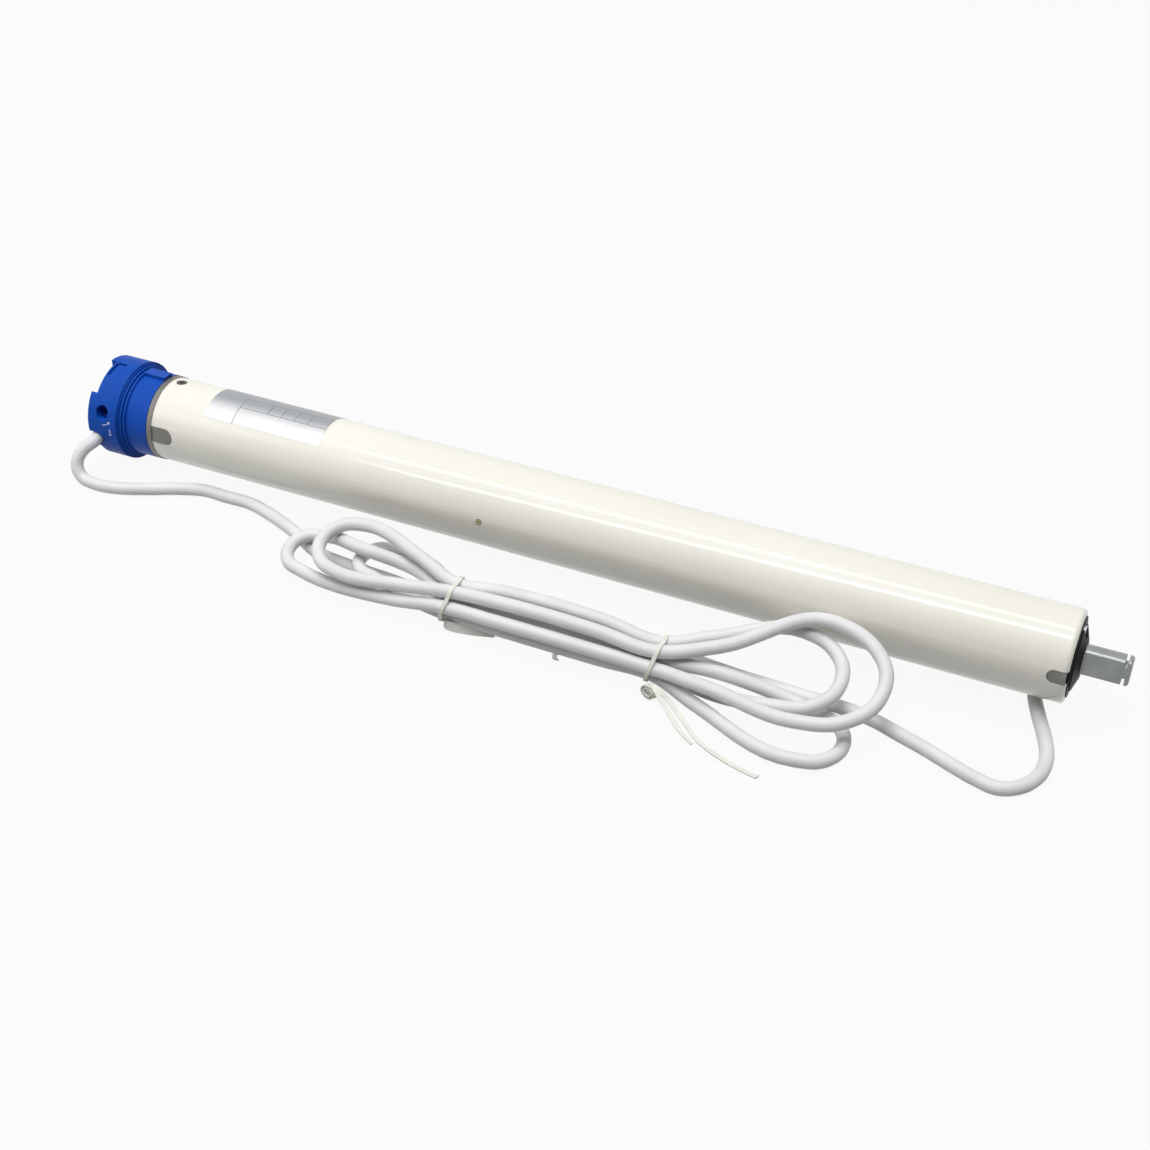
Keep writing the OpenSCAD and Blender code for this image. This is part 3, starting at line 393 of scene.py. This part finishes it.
right = bmesh.new()
lay_strip(right, *band(tie_right, 3))
roll_axis = Vector((-0.4, -0.88, 0.16)).normalized()
roll_right = (Vector((1, 0, 0)) - roll_axis * roll_axis.x).normalized()
roll_up = roll_right.cross(-roll_axis)
roll_centre = Vector((347, -76.4, 4.4))
roll_steps = 25
roll, roll_facings = [], []
for step in range(roll_steps + 1):
    a = math.radians(90 + 30 * (roll_steps - step))
    out = roll_right * 1.2 * math.cos(a) + roll_up * math.sin(a) * 0.85
    roll.append(roll_centre + out * (1 + 2.7 * step / roll_steps))
    roll_facings.append(out)
lay_strip(right, roll + [
    (350.5, -76, 7.6), (356.5, -77.8, 5), (362, -81.2, 2.6), (370.4, -88, 1.5), (379.4, -95.6, 1.2),
    (394.4, -102.2, 1.2), (410.4, -106, 1.2), (411.5, -105.4, 2)],
    roll_facings + [(0.5, -0.3, 0.8), (0.5, -0.5, 0.7), (0.3, -0.5, 0.8), (0.2, -0.4, 0.9),
                    (0, -0.1, 1), (0, 0, 1), (0, 0, 1), (-0.6, 0.3, 0.7)],
    [3] * len(roll) + [2.6, 2.2, 2.2, 2, 2, 2.2, 2, 2])
lay_strip(right, [(346.5, -74.8, 8.4), (350.2, -77.6, 7.2), (355.6, -81, 4.6), (361, -85.4, 2.6),
                  (368, -91.6, 1.3), (376.4, -97.8, 0.9)],
          [(0.2, 0.2, 1), (0.5, -0.4, 0.8), (0.4, -0.5, 0.75), (0.3, -0.5, 0.8), (0.1, -0.2, 1), (0, 0, 1)],
          [2, 2.2, 2.2, 2.2, 2.2, 1.4])
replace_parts(place_piece("tie_right", right, tie_plastic, "motor"), "hank_tie_right")

# The head: a stepped flange moulded in blue nylon with the cord notch and the bracket's recesses.
# A flat cover of the same nylon is pressed into its open end.


def rounded(at, radius):
    """Normals that run softly over the edges, and a mask that is bright along them."""
    soft = at.make("Bevel", {"samples": 4}, {"Radius": radius})
    flat = at.make("NewGeometry", {}, {}, out="Normal")
    return soft, 1 - at.make("VectorMath", {"operation": "DOT_PRODUCT"}, {0: soft, 1: flat}, out="Value")


def moulded(name, colour, rim, roughness, grain=0.00006):
    """Moulded plastic: a faint flow in its colour, fine spark-eroded grain and rubbed edges."""
    material, skin, at = surface(name)
    skin.inputs["Specular IOR Level"].default_value = 0.14
    flow = at.cloud(80, 3)
    soft, edge = rounded(at, 0.0004)
    body = flow.mix((*[c * 0.84 for c in colour], 1), (*[min(c * 1.1, 1) for c in colour], 1))
    at.feed(skin.inputs["Base Color"], (edge * 1.5).mix(body, (*rim, 1)))
    at.feed(skin.inputs["Roughness"], at.cloud(700) * 0.2 + (roughness - 0.1))
    at.emboss(skin, 0.3, grain, at.cloud(2400), soft)
    return material


def dress(material, *names):
    for name in names:
        for slot in solids[name].material_slots:
            slot.material = material


blue_nylon = moulded("blue_nylon", (0.003, 0.070, 0.42), (0.02, 0.12, 0.54), 0.5)
dress(blue_nylon, "head_housing", "head_cover")

# The printed arrows: white ink on the flange beside its adjuster holes, to show the way to turn.
# They are drawn flat, in millimetres along the motor and round it, and then wrapped on the flange.
ink, skin, at = surface("white_ink")
wear = at.cloud(1500, 3)
at.feed(skin.inputs["Base Color"], wear.mix((0.32, 0.42, 0.72, 1), (0.86, 0.88, 0.92, 1)))
at.feed(skin.inputs["Roughness"], wear * 0.2 + 0.45)
stroke = 0.5
ink_lift, ink_thick = 0.06, 0.04
straight_x, straight_from, straight_step = 13.6, 5, -1.3
arrows = bmesh.new()


def around(degrees):
    return math.radians(degrees) * flange_r


def arrow_head(work, tip, turn):
    """A small barbed point, drawn at the tip and turned to the way of the stroke."""
    barb = [Vector((0.9, 0, 0)), Vector((-0.7, 1, 0)), Vector((-0.3, 0, 0)), Vector((-0.7, -1, 0))]
    spot = Matrix.Translation((*tip, 0)) @ Matrix.Rotation(math.radians(turn), 4, "Z")
    work.faces.new([work.verts.new(spot @ p) for p in barb])


for centre, reach, start, end in (((8.5, around(23.2)), 6.9, -84, -44), ((9, around(-43)), 6.6, 76, 42)):
    spot = Matrix.Translation((*centre, 0)) @ Matrix.Rotation(math.radians(start), 4, "Z")
    nib = arrows.edges.new([arrows.verts.new(spot @ Vector((reach + s, 0, 0)))
                            for s in (-stroke / 2, stroke / 2)])
    bmesh.ops.spin(arrows, geom=list(nib.verts) + [nib], cent=(*centre, 0), axis=(0, 0, 1),
                   angle=math.radians(end - start), steps=10)
    tip = Matrix.Rotation(math.radians(end), 2) @ Vector((reach, 0)) + Vector(centre)
    arrow_head(arrows, tip, end + (90 if end > start else -90))
nib = arrows.edges.new([arrows.verts.new((straight_x + s, around(straight_from), 0))
                        for s in (-stroke / 2, stroke / 2)])
for step in range(6):
    grown = bmesh.ops.extrude_edge_only(arrows, edges=[nib])["geom"]
    bmesh.ops.translate(arrows, vec=(0, around(straight_step), 0),
                        verts=[g for g in grown if isinstance(g, bmesh.types.BMVert)])
    nib = [g for g in grown if isinstance(g, bmesh.types.BMEdge)
           and all(v in grown for v in g.verts)][0]
arrow_head(arrows, (straight_x, around(2 * straight_step)), -90)
bmesh.ops.recalc_face_normals(arrows, faces=arrows.faces)
bmesh.ops.solidify(arrows, geom=arrows.faces[:], thickness=ink_thick)
for v in arrows.verts:
    a, r = v.co.y / flange_r, flange_r + ink_lift + v.co.z
    v.co = Vector((v.co.x, -r * math.cos(a), r * math.sin(a))) / 1000
place_piece("printed_arrows", arrows, ink, "motor")

# Inside the head: two turned brass inserts for the bracket's screws, and the black clamp block that
# holds the cord in its notch.


def metal(name, colour, roughness, streaks=(1, 1, 1), scale=70, radius=0.00025):
    """Bare metal: streaks from its making, a little uneven tarnish and bright edges."""
    material, skin, at = surface(name, roughness, 1.0)
    mark = at.cloud(scale, 4, streaks)
    tarnish = at.cloud(45, 2)
    soft, edge = rounded(at, radius)
    body = tarnish.mix((*[c * 0.72 for c in colour], 1), (*colour, 1))
    at.feed(skin.inputs["Base Color"], (edge * 1.2).mix(body, (*[min(c * 1.45, 1) for c in colour], 1)))
    at.feed(skin.inputs["Roughness"], mark * 0.24 + (roughness - 0.12))
    at.emboss(skin, 0.2, 0.00006, mark, soft)
    return material


turned_brass = metal("turned_brass", (0.62, 0.44, 0.17), 0.35, (14, 1, 1))
dress(turned_brass, "bracket_inserts")
black_nylon = moulded("black_nylon", (0.016, 0.016, 0.018), (0.055, 0.055, 0.058), 0.48)
dress(black_nylon, "cord_clamp")

# The two end-stop adjusters: dark blue screws with a hexagon socket at the bottom of their holes.
dark_nylon = moulded("dark_blue_nylon", (0.008, 0.045, 0.26), (0.04, 0.12, 0.42), 0.42)
dress(dark_nylon, "adjuster_up", "adjuster_down")

# The crown: a blue ring with a toothed bore that turns with the blind's tube and counts its turns.
# It is moulded in a smoother grade than the head, so that it slides on the journal.
crown_nylon = moulded("crown_nylon", (0.003, 0.070, 0.44), (0.02, 0.12, 0.55), 0.44, 0.00003)
dress(crown_nylon, "crown_ring")

# The zinc casting that carries the head and enters the tube: a dull grey, slightly grainy die casting.
# Plated screws fix the head to it, and its two tabs fill the slots of the tube.
die_cast, skin, at = surface("die_cast_zinc", 0.5, 0.75)
skin_flow = at.cloud(140, 4)
pits = at.cloud(1300, 2)
soft, edge = rounded(at, 0.0003)
casting = skin_flow.mix((0.12, 0.116, 0.108, 1), (0.26, 0.254, 0.24, 1))
at.feed(skin.inputs["Base Color"], (edge * 1.3).mix(casting, (0.46, 0.45, 0.43, 1)))
at.feed(skin.inputs["Roughness"], pits * 0.25 + 0.36)
at.feed(skin.inputs["Metallic"], skin_flow * 0.3 + 0.55)
at.emboss(skin, 0.35, 0.0001, pits + skin_flow, soft)
dress(die_cast, "tube_flange")
plated_steel = metal("plated_steel", (0.52, 0.53, 0.54), 0.34)
dress(plated_steel, "flange_screws")

# The tube: drawn steel, 45 mm across, with a glossy cream stove enamel outside and a bare bore.
# The enamel has a faint orange peel, and covers the cut edges and the rolled drive end too.
enamel, skin, at = surface("cream_enamel")
skin.inputs["Coat Roughness"].default_value = 0.06
bare_r, rolled_len = 21.5, 3
along, across, up = at.parts()
bore = (across * across + up * up) < (bare_r / 1000) ** 2
coated = 1 - bore * (along < (drive_x - rolled_len) / 1000)
soft, edge = rounded(at, 0.0002)
veil = at.cloud(22, 3)
paint = veil.mix((0.80, 0.785, 0.70, 1), (0.86, 0.845, 0.765, 1))
# The lighter cream along the edges is a painted highlight.
paint = (edge * 1.2).mix(paint, (0.89, 0.88, 0.82, 1))
at.feed(skin.inputs["Base Color"], coated.mix((0.33, 0.33, 0.33, 1), paint))
at.feed(skin.inputs["Metallic"], (1 - coated) * 0.8)
at.feed(skin.inputs["Coat Weight"], coated * 0.6)
at.feed(skin.inputs["Roughness"], 0.46 - coated * 0.12 + at.cloud(300) * 0.1)
at.emboss(skin, 0.12, 0.00012, at.cloud(170, 2), soft)
dress(enamel, "motor_tube")

# The tube's fixings: two small black screws at the head, and two brass pins that hold the motor.
# Each pin has a drilled centre, painted dark as shade in the hole, and is painted darker from 1.4 mm out,
# round the edge of its face.
blacked_steel = metal("blacked_steel", (0.15, 0.135, 0.115), 0.4)
dress(blacked_steel, "tube_screws")
pin_brass, skin, at = surface("pin_brass", 0.35, 1.0)
pin_turn = math.radians(8.4)
pin_low, pin_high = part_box("motor_pins")
along, across, up = at.parts()
off_along = (along - (pin_low[0] + pin_high[0]) / 2) * 1000
off_round = (across * math.sin(pin_turn) + up * math.cos(pin_turn)) * 1000
out = at.make("Math", {"operation": "SQRT"}, {0: off_along * off_along + off_round * off_round})
# The drilled centre is painted near black: painted shade in the hole. Everything from 1.4 mm out from the
# centre is painted as dark, so the face has a dark ring.
hole_with_painted_shade = out.ease(0.4, 0.7, 1.0, 0.0)
dark_rim = out.ease(1.15, 1.4, 0.0, 1.0)
face = at.cloud(900, 3).mix((0.46, 0.42, 0.24, 1), (0.62, 0.58, 0.36, 1))
at.feed(skin.inputs["Base Color"], (hole_with_painted_shade + dark_rim).mix(face, (0.07, 0.064, 0.028, 1)))
at.feed(skin.inputs["Roughness"], at.cloud(600) * 0.2 + 0.3)
at.emboss(skin, 0.6, 0.0003, 1 - hole_with_painted_shade - dark_rim)
dress(pin_brass, "motor_pins")

# The rating label: a thin silvered foil, glued on the tube near the head and left bare of words.
# Only fine ruled lines remain: two long lines, one across their left end and the columns between them.
foil, skin, at = surface("label_foil")
ruled_from, ruled_to = 84.5, 136.5
label_edge, table_edge, top_line = 51, 78, 99
hair, hair_turn = 0.16, 0.4
along, across, up = at.parts()
along = along * 1000
turn = at.make("Math", {"operation": "ARCTAN2"}, {0: up, 1: across * -1}) * math.degrees(1)


def rule(value, place, half):
    """A fine line where a value passes a place."""
    return at.make("Math", {"operation": "COMPARE"}, {0: value, 1: place, 2: half})


def within(value, low_end, high_end):
    return (value > low_end) * (value < high_end)


columns = rule(along, 101, hair)
for place in (109, 117, 125):
    columns = columns + rule(along, place, hair)
lines = rule(turn, table_edge, hair_turn) + rule(turn, top_line, hair_turn)
lines = lines * within(along, ruled_from, ruled_to)
lines = lines + rule(along, ruled_from, hair) * within(turn, label_edge, top_line)
lines = lines + columns * within(turn, table_edge, top_line)
sheen = at.cloud(60, 3)
blank = sheen.mix((0.72, 0.73, 0.74, 1), (0.82, 0.825, 0.83, 1))
# The foil turns grey towards the top of the tube: painted shade, standing in for the darker reflection it
# shows there.
painted_shade_to_top = turn.ease(64.0, 92.0, 0.0, 1.0).mix(blank, (0.34, 0.355, 0.375, 1))
at.feed(skin.inputs["Base Color"], lines.mix(painted_shade_to_top, (0.10, 0.10, 0.11, 1)))
at.feed(skin.inputs["Metallic"], 0.35 - lines * 0.35)
at.feed(skin.inputs["Roughness"], sheen * 0.16 + 0.28)
at.emboss(skin, 0.1, 0.0001, at.cloud(260))
dress(foil, "rating_label")

# The end-stop unit in the tube: a grey frame, two white pinion spindles that the crown turns, and
# two black snap switches.
grey_nylon = moulded("grey_nylon", (0.22, 0.225, 0.235), (0.34, 0.345, 0.35), 0.5)
white_acetal = moulded("white_acetal", (0.74, 0.74, 0.72), (0.82, 0.82, 0.80), 0.4)
dress(grey_nylon, "limit_chassis")
dress(white_acetal, "limit_pinion_up", "limit_pinion_down")
dress(black_nylon, "limit_switches")

# The run capacitor: a white film capacitor in a soft black foam collar, with enamelled leads that run
# on to the motor.
dress(white_acetal, "run_capacitor")
foam, skin, at = surface("black_foam", 0.9)
cells = at.make("TexVoronoi", {}, {"Vector": at, "Scale": 1100})
at.feed(skin.inputs["Base Color"], cells.mix((0.012, 0.012, 0.013, 1), (0.06, 0.06, 0.062, 1)))
at.emboss(skin, 0.8, 0.0004, cells)
dress(foam, "capacitor_collar")
lead_enamel = metal("lead_copper", (0.70, 0.34, 0.16), 0.3, (1, 9, 9), 120)
dress(lead_enamel, "motor_leads")

# The motor: a stack of thin steel sheets round the windings, closed by two cast bells with ball
# bearings, and a caged rotor on a ground shaft.
dress(die_cast, "motor_rear_bell", "motor_front_bell")
sheets, skin, at = surface("lamination", 0.45, 0.9)
leaf = at.make("TexWave", {"wave_type": "BANDS", "bands_direction": "X"}, {
    "Vector": at, "Scale": 320, "Distortion": 0.3, "Detail": 1})
rust = at.cloud(120, 3)
face = rust.mix((0.30, 0.29, 0.28, 1), (0.40, 0.40, 0.41, 1))
at.feed(skin.inputs["Base Color"], leaf.mix((0.13, 0.13, 0.135, 1), face))
at.feed(skin.inputs["Roughness"], rust * 0.25 + 0.35)
at.emboss(skin, 0.4, 0.0001, leaf)
dress(sheets, "stator_core", "rotor_core")
winding, skin, at = surface("winding_copper", 0.32, 1.0)
turns = at.make("TexWave", {"wave_type": "RINGS", "rings_direction": "X"}, {
    "Vector": at, "Scale": 260, "Distortion": 1.2, "Detail": 2})
varnish = at.cloud(90, 3)
face = varnish.mix((0.52, 0.22, 0.09, 1), (0.68, 0.33, 0.15, 1))
at.feed(skin.inputs["Base Color"], turns.mix((0.24, 0.085, 0.035, 1), face))
at.feed(skin.inputs["Roughness"], varnish * 0.2 + 0.24)
at.emboss(skin, 0.6, 0.0002, turns)
dress(winding, "stator_winding")
ground_steel = metal("ground_steel", (0.58, 0.58, 0.59), 0.28, (16, 1, 1))
dress(ground_steel, "motor_bearings", "rotor_shaft")

# The brake behind the motor: a grey pot with its copper coil, a steel armature that the coil pulls in,
# and a black friction disc on the shaft.
dress(sheets, "brake_body")
dress(winding, "brake_coil")
dress(plated_steel, "brake_armature")
lining, skin, at = surface("friction_lining", 0.8)
fibres = at.cloud(900, 4)
at.feed(skin.inputs["Base Color"], fibres.mix((0.02, 0.019, 0.018, 1), (0.085, 0.08, 0.072, 1)))
at.feed(skin.inputs["Roughness"], fibres * 0.3 + 0.6)
at.emboss(skin, 0.5, 0.0002, fibres)
dress(lining, "brake_disc")

# The gearbox: three planetary stages in one grey ring gear, with white acetal planets on sintered
# steel carriers.
dress(plated_steel, "gearbox_plate")
dress(grey_nylon, "ring_gear")
for stage in ("first", "second", "third"):
    dress(white_acetal, *("planet_" + stage + "_" + mark for mark in "abc"))
sintered = metal("sintered_steel", (0.34, 0.335, 0.33), 0.45, (1, 1, 1), 420)
dress(sintered, "carrier_first", "carrier_second")

# The output: the last carrier and the drive shaft in one steel piece, drawn bar with two milled flats
# and a groove for the retaining clip.
drive_steel, skin, at = surface("drive_steel", 0.35, 1.0)
draw = at.cloud(90, 4, (1, 14, 14))
stain = at.cloud(150, 3)
soft, edge = rounded(at, 0.0003)
shaft_r, mask_play = 7.2, 0.12
along, across, up = at.parts()
turned = (across * across + up * up) > ((shaft_r - mask_play) / 1000) ** 2
milled = stain.mix((0.18, 0.19, 0.19, 1), (0.30, 0.31, 0.31, 1))
bright = stain.mix((0.25, 0.26, 0.265, 1), (0.36, 0.37, 0.375, 1))
at.feed(skin.inputs["Base Color"], (edge * 1.3).mix(turned.mix(milled, bright), (0.66, 0.67, 0.67, 1)))
at.feed(skin.inputs["Roughness"], draw * 0.16 + 0.24 - turned * 0.1)
at.emboss(skin, 0.25, 0.0001, draw * (1 - turned * 0.8), soft)
dress(drive_steel, "output_carrier")

# The drive end of the tube: the cast gearbox nose behind the slots, bronze bushes for the shaft, and a
# black end plate held by two plated screws.
dress(die_cast, "gearbox_nose")
bronze = metal("sintered_bronze", (0.50, 0.33, 0.15), 0.45, (1, 1, 1), 420)
dress(bronze, "output_bushes")
plate_nylon = moulded("end_plate_nylon", (0.005, 0.0052, 0.0055), (0.08, 0.085, 0.085), 0.5)
dress(plate_nylon, "end_plate")
dress(plated_steel, "end_plate_screws")

# The floor and the light: a pale sheet under the motor, two long lamps above it that draw the two bright
# lines on the enamel, and a soft lamp beside the head. The sheet and the room show white to the camera.
sheet_half, sheet_gap = 40, 0.0001
white_share = 0.93
ground = bmesh.new()
bmesh.ops.create_grid(ground, x_segments=1, y_segments=1, size=sheet_half)
for corner in ground.verts:
    corner.co.z = table(corner.co.x * 1000) / 1000 - sheet_gap
sheet = bpy.data.meshes.new("floor")
ground.to_mesh(sheet)
ground.free()
floor = bpy.data.objects.new("floor", sheet)
bpy.context.scene.collection.objects.link(floor)
paper, skin, at = surface("floor_paper", 0.9)
at.feed(skin.inputs["Base Color"], at.cloud(3, 2).mix((0.40, 0.40, 0.40, 1), (0.42, 0.42, 0.42, 1)))


def shown(at):
    """One where a ray comes from the camera, a mirror or glass, so that those see the white room."""
    path = at.make("LightPath", {}, {}).socket.node
    camera, mirror, glass = [Shade(at.tree, path.outputs[kind]) for kind in (
        "Is Camera Ray", "Is Glossy Ray", "Is Transmission Ray")]
    return camera + mirror + glass


glow = at.make("Emission", {}, {"Color": (1, 1, 1, 1), "Strength": 1.0})
lit = at.make("MixShader", {}, {0: shown(at) * white_share, 1: Shade(at.tree, skin.outputs[0]), 2: glow})
at.tree.links.new(lit.socket, at.tree.nodes["Material Output"].inputs["Surface"])
sheet.materials.append(paper)

studio = bpy.data.worlds.new("studio")
studio.use_nodes = True
backdrop = studio.node_tree.nodes["Background"]
at = Shade(studio.node_tree, studio.node_tree.nodes.new("ShaderNodeTexCoord").outputs["Generated"])
height = at.parts()[2]
dome = at.make("ValToRGB", {"stops": (
    (0.0, (0.02, 0.02, 0.02, 1)), (0.8, (0.08, 0.08, 0.08, 1)), (1.0, (3.8, 3.8, 3.8, 1)))}, {0: height})
at.feed(backdrop.inputs["Color"], shown(at).mix(dome, (1, 1, 1, 1)))
bpy.context.scene.world = studio


def panel_lamp(name, centre, size, tilt, turn, radiance):
    """A flat lamp whose face has a set brightness, whatever its size."""
    lamp = bpy.data.lights.new(name, "AREA")
    lamp.shape = "RECTANGLE"
    lamp.size, lamp.size_y = size
    lamp.energy = 4 * size[0] * size[1] * radiance
    holder = bpy.data.objects.new(name, lamp)
    holder.location = centre
    holder.rotation_euler = (math.radians(tilt), 0, math.radians(turn))
    bpy.context.scene.collection.objects.link(holder)


panel_lamp("upper_strip", (-0.049, 0.017, 1.5), (1.25, 0.14), 0, 28.8, 5)
panel_lamp("lower_strip", (-0.118, -0.704, 1.5), (1.5, 0.16), 0, 36.7, 7)
panel_lamp("head_fill", (-0.55, -0.40, 0.35), (0.6, 0.6), 65, -58, 1.0)

bpy.context.scene.view_settings.view_transform = "Standard"
